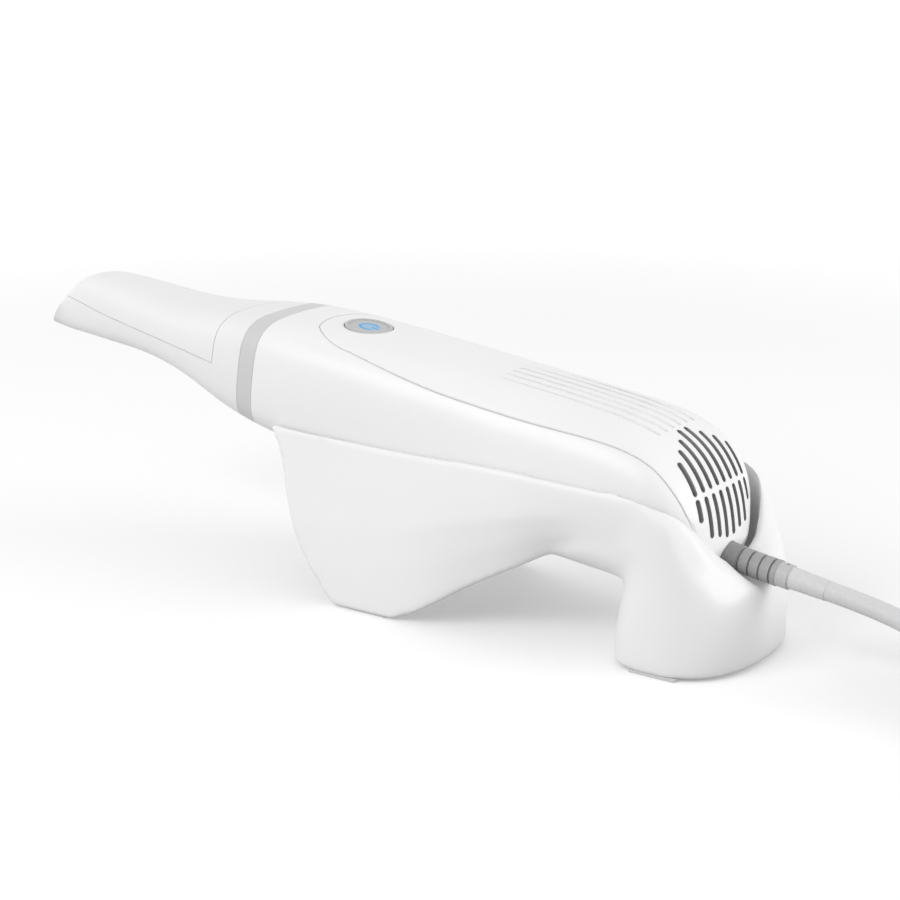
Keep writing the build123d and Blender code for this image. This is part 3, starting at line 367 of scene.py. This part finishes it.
def smoothShade(mesh, sharpAngle):
    mesh.polygons.foreach_set("use_smooth", [True] * len(mesh.polygons))
    mesh.set_sharp_from_angle(angle=math.radians(sharpAngle))


def addObject(name, mesh):
    obj = bpy.data.objects.new(name, mesh)
    bpy.context.scene.collection.objects.link(obj)
    return obj


def standFor(obj, nodeName):
    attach(obj, bodyOf[nodeName])
    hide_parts(nodeName)
    dressed[nodeName] = obj


def smoothShell(nodeName, name, sharpAngle):
    mesh = mergedMesh(nodeName, name)
    smoothShade(mesh, sharpAngle)
    obj = addObject(name, mesh)
    dress(obj, slotOf[nodeName])
    standFor(obj, nodeName)


for nodeName, (name, sharpAngle) in shells.items():
    smoothShell(nodeName, name, sharpAngle)
paint(dressed["relief_ring"], endRingGrey)
paint(dressed["cable_collar"], collarGrey)
print("shells smoothed:", len(shells))


# button: painted light, a pale blue glow painted into the cap's colour round its symbol, for the light
# that shines through the cap

# painted light: how far the glow painted into the cap reaches round the symbol, and its pale blue
buttonPaintedGlow = {
    "innerRadius": 0.0026,
    "outerRadius": 0.0046,
    "colour": tone(176, (-26, 14, 44)),
}


def paintButtonGlow():
    material = finishes["button_grey"]
    tree = material.node_tree
    shader = tree.nodes["Principled BSDF"]
    low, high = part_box("button_symbol")
    coordinates = addNode(tree, "ShaderNodeTexCoord")
    distance = addNode(tree, "ShaderNodeVectorMath", operation="DISTANCE")
    distance.inputs[1].default_value = (low + high) / 2
    tree.links.new(coordinates.outputs["Object"], distance.inputs[0])
    fade = addNode(tree, "ShaderNodeMapRange", interpolation_type="SMOOTHSTEP")
    fade.inputs["From Min"].default_value = buttonPaintedGlow["outerRadius"]
    fade.inputs["From Max"].default_value = buttonPaintedGlow["innerRadius"]
    tree.links.new(distance.outputs["Value"], fade.inputs["Value"])
    cap = shader.inputs["Base Color"].links[0].from_socket
    # painted light: towards the symbol the cap's colour turns to the glow's pale blue
    mixed = colourMix(tree, fade.outputs["Result"], buttonPaintedGlow["colour"], buttonPaintedGlow["colour"])
    # outside the painted glow the cap keeps its own colour
    tree.links.new(cap, [s for s in mixed.node.inputs if s.type == "RGBA" and s.name == "A"][0])
    tree.links.new(mixed, shader.inputs["Base Color"])


paintButtonGlow()


# grille: painted shade, the slots' walls get a grey finish that stands for the shade they lie in

grille = {
    "frontX": 0.098,
    "largestWall": 0.0002,
    "sharpAngle": 28,
}


def patchOf(first, seen, limit):
    patch = [first]
    seen.add(first)
    for face in patch:
        for edge in face.edges:
            if edge.calc_face_angle(math.pi) > limit:
                continue
            for other in edge.link_faces:
                if other not in seen:
                    seen.add(other)
                    patch.append(other)
    return patch


def paintSlotShade(obj):
    obj.data.materials.append(slotPaintedShade)
    work = bmesh.new()
    work.from_mesh(obj.data)
    seen = set()
    walls = 0
    for face in work.faces:
        if face in seen:
            continue
        patch = patchOf(face, seen, math.radians(grille["sharpAngle"]))
        behind = all(vertex.co.x > grille["frontX"] for member in patch for vertex in member.verts)
        if behind and sum(member.calc_area() for member in patch) < grille["largestWall"]:
            walls += 1
            for member in patch:
                # these walls take the painted shade
                member.material_index = 1
    work.to_mesh(obj.data)
    work.free()
    print("slot walls shaded:", walls)


paintSlotShade(dressed["top_cover"])


# cradle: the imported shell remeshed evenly, then its leg and arch blended as one moulding

cradle = {
    "voxel": 0.00078,
    "evenPasses": 10,
    "lastPasses": 3,
    "legPasses": 45,
    "legX": (0.066, 0.096),
    "legClear": (-0.004, 0.004),  # from the handle's surface
    "rimRoom": 0.0006,
    "tailRoom": 0.0030,  # on top of the rim's, round the cable's collar
    "tailX": (0.092, 0.116),
    "tailZ": (0.020, 0.034),
}


def settle(obj):
    result = obj.evaluated_get(bpy.context.evaluated_depsgraph_get())
    mesh = bpy.data.meshes.new_from_object(result)
    obj.modifiers.clear()
    obj.data = mesh


def handleSurface():
    points, faces = [], []
    for nodeName in ("lower_housing", "top_cover", "cable_collar", "strain_relief"):
        mesh = dressed[nodeName].data
        first = len(points)
        points += [vertex.co.copy() for vertex in mesh.vertices]
        faces += [[first + index for index in polygon.vertices] for polygon in mesh.polygons]
    return BVHTree.FromPolygons(points, faces)


def share(value, span):  # 0 below the span, 1 above it
    low, high = span
    return min(1, max(0, (value - low) / (high - low)))


def openTrough(mesh, handle):  # what is too near the handle moves straight out from its axis
    tilt = math.radians(handleFrame["tilt"])
    along = Vector((math.cos(tilt), 0, -math.sin(tilt)))
    origin = Vector(handleFrame["origin"])
    for vertex in mesh.vertices:
        flare = share(vertex.co.x, cradle["tailX"]) * share(vertex.co.z, cradle["tailZ"])
        room = cradle["rimRoom"] + cradle["tailRoom"] * flare
        gap = handle.find_nearest(vertex.co, room)[3]
        if gap is not None:
            offset = vertex.co - origin
            outward = offset - along * offset.dot(along)
            vertex.co += outward.normalized() * (room - gap)


def smoothPiece(obj, passes, group=""):
    modifier = obj.modifiers.new("evenSurface", "SMOOTH")
    modifier.iterations = passes
    modifier.vertex_group = group
    settle(obj)


def gatherLeg(obj, handle):
    legGroup = obj.vertex_groups.new(name="leg")
    for vertex in obj.data.vertices:
        weight = share(vertex.co.x, cradle["legX"])
        if weight:
            weight *= share(handle.find_nearest(vertex.co)[3], cradle["legClear"])
        if weight:
            legGroup.add([vertex.index], weight, "REPLACE")
    return legGroup.name


def makeCradle():
    obj = addObject("cradleForm", mergedMesh("cradle", "cradleForm"))
    remesh = obj.modifiers.new("evenMesh", "REMESH")
    remesh.mode = "VOXEL"
    remesh.voxel_size = cradle["voxel"]
    remesh.use_smooth_shade = True
    settle(obj)
    handle = handleSurface()
    openTrough(obj.data, handle)
    smoothPiece(obj, cradle["evenPasses"])
    smoothPiece(obj, cradle["legPasses"], gatherLeg(obj, handle))
    openTrough(obj.data, handle)
    smoothPiece(obj, cradle["lastPasses"])
    dress(obj, slotOf["cradle"])
    standFor(obj, "cradle")
    print("cradle moulded, faces:", len(obj.data.polygons))


makeCradle()


# free cable: its route, the coil's turns by a loop, then its route up to the plug

cable = {
    "diameter": 0.0059,
    "sleeveRadius": 0.0031,
    "curveOrder": 3,
    "stepsPerPoint": 8,
    "roundSteps": 8,
    "startAngle": -90,
    "coilCentre": (0.236, 0.026),
    "outerTurn": 0.0479,
    "pitch": 0.00598,
    "turnsPerLayer": 4,
    "pointsPerTurn": 14,
    "stepFrom": 0.7,  # share of a turn after which it moves to the next one
    "lowLayer": 0.00355,
    "highLayer": 0.00955,
    "lastSteps": 50,
}
cableRoute = (
    (0.1760, 0.0000, 0.023794),
    (0.1930, -0.0035, 0.0200),
    (0.2080, -0.0105, 0.0132),
    (0.2210, -0.0175, 0.0072),
)
tailRoute = (
    (0.1945, 0.0501, 0.0120),
    (0.1887, 0.0310, 0.0153),
    (0.1932, 0.0115, 0.0157),
    (0.2081, -0.0019, 0.0165),
    (0.2260, -0.0041, 0.0165),
)


def coilPoint(angle, radius, height):
    centreX, centreY = cable["coilCentre"]
    return (centreX + radius * math.cos(angle), centreY + radius * math.sin(angle), height)


def coilTurns():
    points = []
    turnsIn = cable["turnsPerLayer"]
    steps = (turnsIn + 1) * cable["pointsPerTurn"] + cable["lastSteps"]
    roundness = math.cos(math.pi / cable["pointsPerTurn"])  # the curve runs inside its points
    for index in range(steps + 1):
        turns, part = divmod(index / cable["pointsPerTurn"], 1)
        moved = turns + share(part, (cable["stepFrom"], 1))
        radius = cable["outerTurn"] - cable["pitch"] * min(moved, 2 * turnsIn - moved)
        rise = share(index / cable["pointsPerTurn"], (turnsIn, turnsIn + cable["stepFrom"]))
        height = cable["lowLayer"] + (cable["highLayer"] - cable["lowLayer"]) * rise
        angle = math.radians(cable["startAngle"]) + 2 * math.pi * index / cable["pointsPerTurn"]
        points.append(coilPoint(angle, radius / roundness, height))
    return points


def splineCurve(name, points, radius):
    curve = bpy.data.curves.new(name, "CURVE")
    curve.dimensions = "3D"
    spline = curve.splines.new("NURBS")
    spline.points.add(len(points) - 1)
    for point, place in zip(spline.points, points):
        point.co = (*place, 1)
    spline.order_u = cable["curveOrder"]
    spline.use_endpoint_u = True
    spline.resolution_u = cable["stepsPerPoint"]
    curve.bevel_depth = radius
    curve.bevel_resolution = cable["roundSteps"]
    curve.use_fill_caps = True
    return addObject(name, curve)


def splineLength(obj):
    bevel = obj.data.bevel_depth
    obj.data.bevel_depth = 0
    line = bpy.data.meshes.new_from_object(obj)
    obj.data.bevel_depth = bevel
    places = [vertex.co for vertex in line.vertices]
    total = sum((places[edge.vertices[0]] - places[edge.vertices[1]]).length for edge in line.edges)
    bpy.data.meshes.remove(line)
    return total


def sleeveEnd():
    low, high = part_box("cable_sleeve")
    tilt = math.radians(handleFrame["tilt"])
    radius = cable["sleeveRadius"]
    return Vector((high.x - radius * math.sin(tilt), 0, low.z + radius * math.cos(tilt)))


def makeCable():
    exitPoint = sleeveEnd()
    points = [tuple(exitPoint), *cableRoute, *coilTurns(), *tailRoute]
    obj = splineCurve("cableLine", points, cable["diameter"] / 2)
    obj.data.materials.append(finishes["cable_grey"])
    length = splineLength(obj)
    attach(obj, "main")
    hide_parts("cable", "cable_coil", "cable_tail")
    names = ["strain_relief", "relief_ring", "cable_sleeve", "coil_tie"]
    names += ["plug_relief", "plug_body", "plug_shell", "plug_tongue"]
    print("cable laid, metres:", round(length, 3))


# geometry nodes: named inputs, then a plain mesh for one body


def newTree(name, inputs):
    tree = bpy.data.node_groups.new(name, "GeometryNodeTree")
    for label, kind in inputs.items():
        tree.interface.new_socket(label, in_out="INPUT", socket_type=kind)
    tree.interface.new_socket("Geometry", in_out="OUTPUT", socket_type="NodeSocketGeometry")
    return tree, tree.nodes.new("NodeGroupInput"), tree.nodes.new("NodeGroupOutput")


def closeTree(tree, geometry, material, output):
    realize = tree.nodes.new("GeometryNodeRealizeInstances")
    coat = addNode(tree, "GeometryNodeSetMaterial", Material=material)
    tree.links.new(geometry, realize.inputs["Geometry"])
    tree.links.new(realize.outputs["Geometry"], coat.inputs["Geometry"])
    tree.links.new(coat.outputs["Geometry"], output.inputs["Geometry"])


def growPiece(name, tree, values, place, body):
    obj = addObject(name, bpy.data.meshes.new(name))
    modifier = obj.modifiers.new(name, "NODES")
    modifier.node_group = tree
    for item in tree.interface.items_tree:
        if item.in_out == "INPUT":
            modifier[item.identifier] = values[item.name]
    settle(obj)
    obj.data.name = name
    obj.data.transform(place)
    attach(obj, body)
    return obj


# plug grip: raised ribs round the plug's body

plugGrip = {
    "Ribs": 7,
    "Rib Pitch": 0.0022,
    "Rib Radius": 0.00045,
    "First Rib": 0.0185,
    "Body Width": 0.015,
    "Body Height": 0.0078,
    "Body Corner": 0.0024,
}
plugSteps = {
    "corner": 6,
    "rib": 10,
    "sharpAngle": 40,
}


def plugTree():
    kinds = {name: "NodeSocketFloat" for name in plugGrip}
    kinds["Ribs"] = "NodeSocketInt"
    tree, source, output = newTree("plugRibs", kinds)
    outline = addNode(tree, "GeometryNodeCurvePrimitiveQuadrilateral")
    tree.links.new(source.outputs["Body Height"], outline.inputs["Width"])
    tree.links.new(source.outputs["Body Width"], outline.inputs["Height"])
    rounded = addNode(tree, "GeometryNodeFilletCurve", mode="POLY", Count=plugSteps["corner"])
    tree.links.new(outline.outputs["Curve"], rounded.inputs["Curve"])
    tree.links.new(source.outputs["Body Corner"], rounded.inputs["Radius"])
    section = addNode(tree, "GeometryNodeCurvePrimitiveCircle", Resolution=plugSteps["rib"])
    tree.links.new(source.outputs["Rib Radius"], section.inputs["Radius"])
    rib = addNode(tree, "GeometryNodeCurveToMesh")
    tree.links.new(rounded.outputs["Curve"], rib.inputs["Curve"])
    tree.links.new(section.outputs["Curve"], rib.inputs["Profile Curve"])
    first = addNode(tree, "ShaderNodeCombineXYZ")
    tree.links.new(source.outputs["First Rib"], first.inputs["X"])
    step = addNode(tree, "ShaderNodeCombineXYZ")
    tree.links.new(source.outputs["Rib Pitch"], step.inputs["X"])
    line = addNode(tree, "GeometryNodeMeshLine")
    tree.links.new(source.outputs["Ribs"], line.inputs["Count"])
    tree.links.new(first.outputs["Vector"], line.inputs["Start Location"])
    tree.links.new(step.outputs["Vector"], line.inputs["Offset"])
    copies = addNode(tree, "GeometryNodeInstanceOnPoints")
    copies.inputs["Rotation"].default_value = (0, math.pi / 2, 0)
    tree.links.new(line.outputs["Mesh"], copies.inputs["Points"])
    tree.links.new(rib.outputs["Mesh"], copies.inputs["Instance"])
    closeTree(tree, copies.outputs["Instances"], finishes["relief_grey"], output)
    return tree


def addPlugGrip():
    last, before = Vector(tailRoute[-1]), Vector(tailRoute[-2])
    turn = math.atan2(last.y - before.y, last.x - before.x)
    place = Matrix.Translation(last) @ Matrix.Rotation(turn, 4, "Z")
    grip = growPiece("plugGripRibs", plugTree(), plugGrip, place, "main")
    smoothShade(grip.data, plugSteps["sharpAngle"])
    return grip


plugRibs = addPlugGrip()
print("plug grip ribs:", plugGrip["Ribs"])


# main board: rows of small parts along both edges, clear of chips and screws

boardParts = {
    "Columns": 17,
    "Rows": 2,
    "Length": 0.040,
    "Row Width": 0.0016,
    "Part Length": 0.0013,
    "Part Width": 0.0008,
    "Part Height": 0.0005,
    "Left Out": 0.22,
    "Seed": 7,
}
boardPlace = {  # in the handle's own frame
    "top": -0.006,
    "rowMiddleX": 0.102,
    "rowY": 0.0130,
}


def boardTree():
    kinds = {name: "NodeSocketFloat" for name in boardParts}
    kinds.update({"Columns": "NodeSocketInt", "Rows": "NodeSocketInt", "Seed": "NodeSocketInt"})
    tree, source, output = newTree("boardRows", kinds)
    grid = addNode(tree, "GeometryNodeMeshGrid")
    tree.links.new(source.outputs["Length"], grid.inputs["Size X"])
    tree.links.new(source.outputs["Row Width"], grid.inputs["Size Y"])
    tree.links.new(source.outputs["Columns"], grid.inputs["Vertices X"])
    tree.links.new(source.outputs["Rows"], grid.inputs["Vertices Y"])
    chance = addNode(tree, "FunctionNodeRandomValue", data_type="BOOLEAN")
    tree.links.new(source.outputs["Left Out"], chance.inputs["Probability"])
    tree.links.new(source.outputs["Seed"], chance.inputs["Seed"])
    kept = addNode(tree, "GeometryNodeDeleteGeometry", domain="POINT")
    tree.links.new(grid.outputs["Mesh"], kept.inputs["Geometry"])
    tree.links.new([s for s in chance.outputs if s.type == "BOOLEAN"][0], kept.inputs["Selection"])
    size = addNode(tree, "ShaderNodeCombineXYZ")
    tree.links.new(source.outputs["Part Length"], size.inputs["X"])
    tree.links.new(source.outputs["Part Width"], size.inputs["Y"])
    tree.links.new(source.outputs["Part Height"], size.inputs["Z"])
    cube = addNode(tree, "GeometryNodeMeshCube")
    tree.links.new(size.outputs["Vector"], cube.inputs["Size"])
    copies = addNode(tree, "GeometryNodeInstanceOnPoints")
    tree.links.new(kept.outputs["Geometry"], copies.inputs["Points"])
    tree.links.new(cube.outputs["Mesh"], copies.inputs["Instance"])
    closeTree(tree, copies.outputs["Instances"], finishes["chip_black"], output)
    return tree


def addBoardParts():
    tree = boardTree()
    tilt = Matrix.Rotation(math.radians(handleFrame["tilt"]), 4, "Y")
    lift = boardPlace["top"] + boardParts["Part Height"] / 2
    for name, side in (("boardPartsNear", -1), ("boardPartsFar", 1)):
        spot = Vector((boardPlace["rowMiddleX"], side * boardPlace["rowY"], lift))
        place = Matrix.Translation(handleFrame["origin"]) @ tilt @ Matrix.Translation(spot)
        growPiece(name, tree, boardParts, place, "main")


addBoardParts()
print("board parts set in rows")
makeCable()


# studio: pale floor, softbox at the front left, low fill at the right and even surroundings

studio = {
    "floorRadius": 6.0,
    "floorSides": 96,
    "floorShade": 0.8,
    "bounceShade": 0.56,
    "floorGlow": 0.28,
    "farGlow": 0.9,
    "glowFrom": 0.35,
    "glowFull": 1.3,
    "surroundLevel": 0.6,
    "lightsMeet": (0, 0, 0.04),
    "keyPlace": (-0.45, -1.25, 0.92),
    "keySize": 0.9,
    "keyPower": 11.2,
    "fillPlace": (1.4, 0.45, 0.35),
    "fillSize": 0.8,
    "fillPower": 10.0,
}


def rayMask(tree):  # 1 for what the camera sees, straight, mirrored or through glass
    path = addNode(tree, "ShaderNodeLightPath")
    mirrored = addNode(tree, "ShaderNodeMath", operation="ADD", use_clamp=True)
    seen = addNode(tree, "ShaderNodeMath", operation="ADD", use_clamp=True)
    tree.links.new(path.outputs["Is Camera Ray"], mirrored.inputs[0])
    tree.links.new(path.outputs["Is Glossy Ray"], mirrored.inputs[1])
    tree.links.new(mirrored.outputs[0], seen.inputs[0])
    tree.links.new(path.outputs["Is Transmission Ray"], seen.inputs[1])
    return seen.outputs[0]


def floorGlow(tree):  # the floor pales with its distance from the middle
    coordinates = addNode(tree, "ShaderNodeTexCoord")
    distance = addNode(tree, "ShaderNodeVectorMath", operation="LENGTH")
    tree.links.new(coordinates.outputs["Object"], distance.inputs[0])
    level = addNode(tree, "ShaderNodeMapRange", interpolation_type="SMOOTHSTEP")
    level.inputs["From Min"].default_value = studio["glowFrom"]
    level.inputs["From Max"].default_value = studio["glowFull"]
    level.inputs["To Min"].default_value = studio["floorGlow"]
    level.inputs["To Max"].default_value = studio["farGlow"]
    tree.links.new(distance.outputs["Value"], level.inputs["Value"])
    return level.outputs["Result"]


def floorMaterial():
    material = bpy.data.materials.new("studioFloor")
    material.use_nodes = True
    tree = material.node_tree
    tree.nodes.clear()
    seen = rayMask(tree)
    shade = addNode(tree, "ShaderNodeMapRange")
    shade.inputs["To Min"].default_value = studio["bounceShade"]
    shade.inputs["To Max"].default_value = studio["floorShade"]
    tree.links.new(seen, shade.inputs["Value"])
    diffuse = addNode(tree, "ShaderNodeBsdfDiffuse")
    tree.links.new(shade.outputs["Result"], diffuse.inputs["Color"])
    strength = addNode(tree, "ShaderNodeMath", operation="MULTIPLY")
    tree.links.new(seen, strength.inputs[0])
    tree.links.new(floorGlow(tree), strength.inputs[1])
    glow = addNode(tree, "ShaderNodeEmission")
    tree.links.new(strength.outputs[0], glow.inputs["Strength"])
    both = addNode(tree, "ShaderNodeAddShader")
    tree.links.new(diffuse.outputs[0], both.inputs[0])
    tree.links.new(glow.outputs[0], both.inputs[1])
    output = addNode(tree, "ShaderNodeOutputMaterial")
    tree.links.new(both.outputs[0], output.inputs["Surface"])
    return material


def addFloor():
    work = bmesh.new()
    radius, sides = studio["floorRadius"], studio["floorSides"]
    bmesh.ops.create_circle(work, cap_ends=True, radius=radius, segments=sides)
    mesh = bpy.data.meshes.new("studioFloor")
    work.to_mesh(mesh)
    work.free()
    obj = addObject("studioFloor", mesh)
    obj.data.materials.append(floorMaterial())


def addSurroundings():
    world = bpy.data.worlds.new("studioSurroundings")
    bpy.context.scene.world = world
    world.use_nodes = True
    tree = world.node_tree
    back = tree.nodes["Background"]
    back.inputs["Color"].default_value = (1, 1, 1, 1)
    level = addNode(tree, "ShaderNodeMapRange")
    level.inputs["To Min"].default_value = studio["surroundLevel"]
    level.inputs["To Max"].default_value = 1.0
    tree.links.new(rayMask(tree), level.inputs["Value"])
    tree.links.new(level.outputs["Result"], back.inputs["Strength"])


def addSoftbox(name, place, size, power):
    data = bpy.data.lights.new(name, "AREA")
    data.shape = "SQUARE"
    data.size = size
    data.energy = power
    obj = bpy.data.objects.new(name, data)
    bpy.context.scene.collection.objects.link(obj)
    lookAt(obj, place, studio["lightsMeet"])


addFloor()
addSurroundings()
addSoftbox("keySoftbox", studio["keyPlace"], studio["keySize"], studio["keyPower"])
addSoftbox("fillSoftbox", studio["fillPlace"], studio["fillSize"], studio["fillPower"])
bpy.context.scene.view_settings.view_transform = "Standard"
print("studio set")
